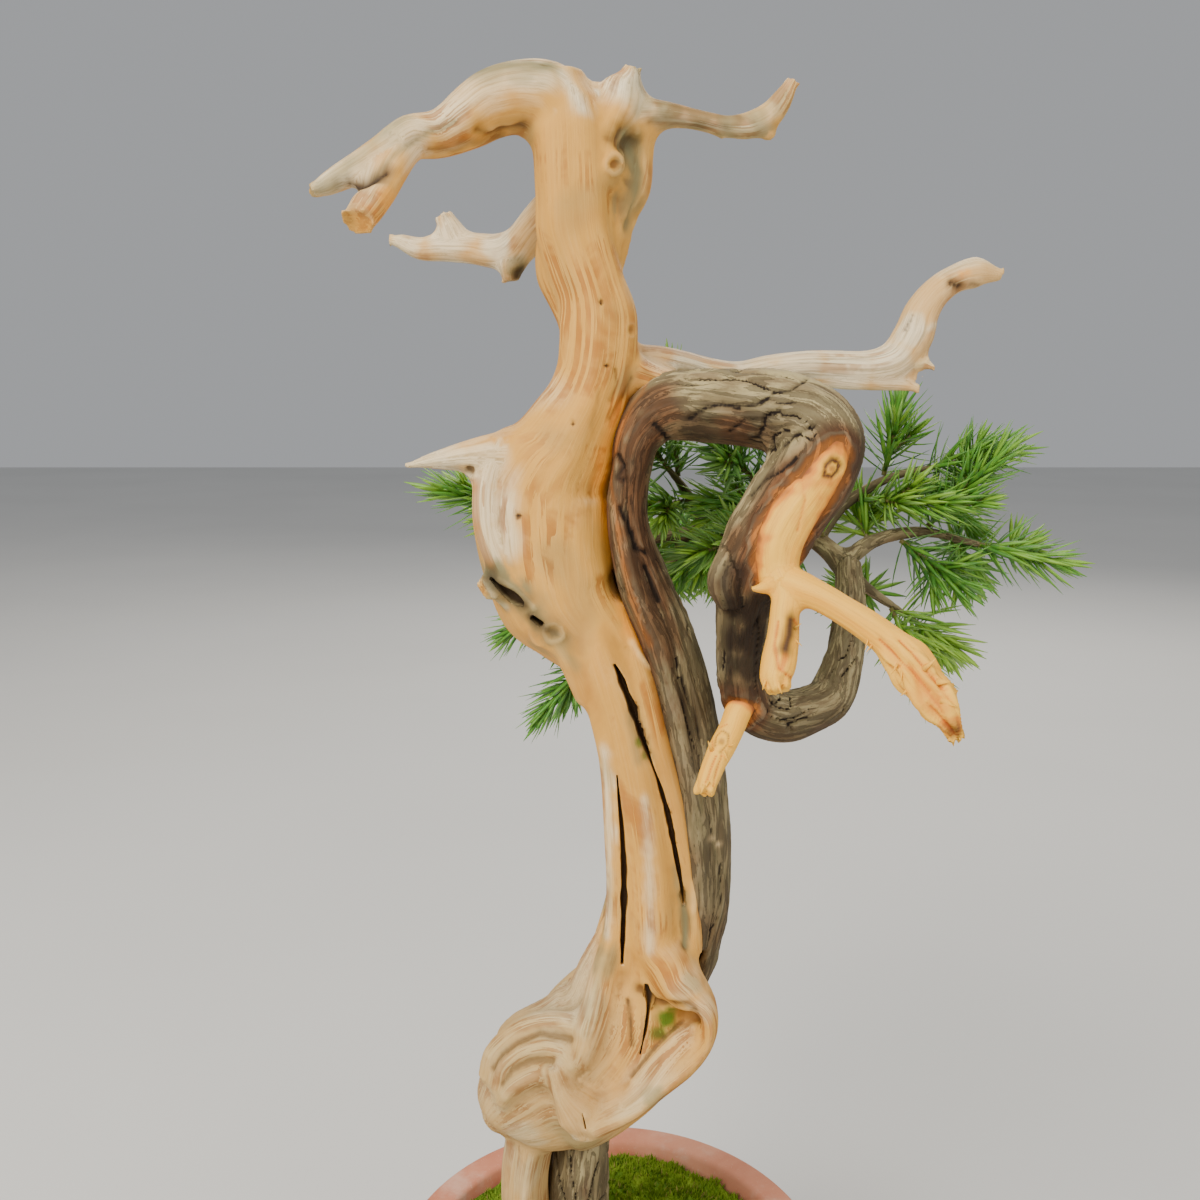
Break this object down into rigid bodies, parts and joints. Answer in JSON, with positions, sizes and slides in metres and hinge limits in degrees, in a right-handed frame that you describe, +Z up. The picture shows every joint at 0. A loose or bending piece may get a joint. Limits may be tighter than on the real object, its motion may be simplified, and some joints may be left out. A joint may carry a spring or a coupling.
{
  "type": "needle juniper bonsai in a pot",
  "caption": "Twisted needle juniper bonsai: a weathered bare trunk with a live vein, a looping branch with a crown of needle sprays behind it, and a mossy round terracotta pot.",
  "frame": {"origin": "centre of the pot's flat underside", "axes": "+Z up along the pot's axis, -Y towards the front of the tree, +X to the side that the looping branch leaves by"},
  "size_m": [0.2189, 0.1887, 0.4103],
  "materials": {
    "terracotta": "matt unglazed terracotta, a little bloom",
    "soil": "dull, granular, damp",
    "moss": "soft, tufted",
    "bare_wood": "weathered, fine long grain, silvery on its edges",
    "bark": "rough, flaking and fissured",
    "peeled_wood": "fresh, smooth, pale, orange at its border",
    "needles": "slightly waxy green needles, pale band on the upper face"
  },
  "bodies": {
    "root": {"pot": "terracotta", "soil": "soil", "moss": "moss", "bare_trunk": "bare_wood", "barked_branch": "bark", "peeled_elbow": "peeled_wood", "peeled_stub": "peeled_wood", "needle_spray_01": "needles", "needle_spray_02": "needles", "needle_spray_03": "needles", "needle_spray_04": "needles", "needle_spray_05": "needles", "needle_spray_06": "needles", "needle_spray_07": "needles", "needle_spray_08": "needles", "needle_spray_09": "needles", "needle_spray_10": "needles", "needle_spray_11": "needles", "needle_spray_12": "needles", "needle_spray_13": "needles", "needle_spray_14": "needles", "needle_spray_15": "needles", "needle_spray_16": "needles", "needle_spray_17": "needles", "needle_spray_18": "needles", "needle_spray_19": "needles", "needle_spray_20": "needles", "needle_spray_21": "needles", "needle_spray_22": "needles", "needle_spray_23": "needles", "needle_spray_24": "needles", "needle_spray_25": "needles", "needle_spray_26": "needles", "needle_spray_27": "needles", "needle_spray_28": "needles", "needle_spray_29": "needles", "needle_spray_30": "needles", "needle_spray_31": "needles", "needle_spray_32": "needles", "needle_spray_33": "needles", "needle_spray_34": "needles", "needle_spray_35": "needles", "needle_spray_36": "needles", "needle_spray_37": "needles", "needle_spray_38": "needles", "needle_spray_39": "needles", "needle_spray_40": "needles", "needle_spray_41": "needles", "needle_spray_42": "needles", "needle_spray_43": "needles"}
  },
  "joints": []
}
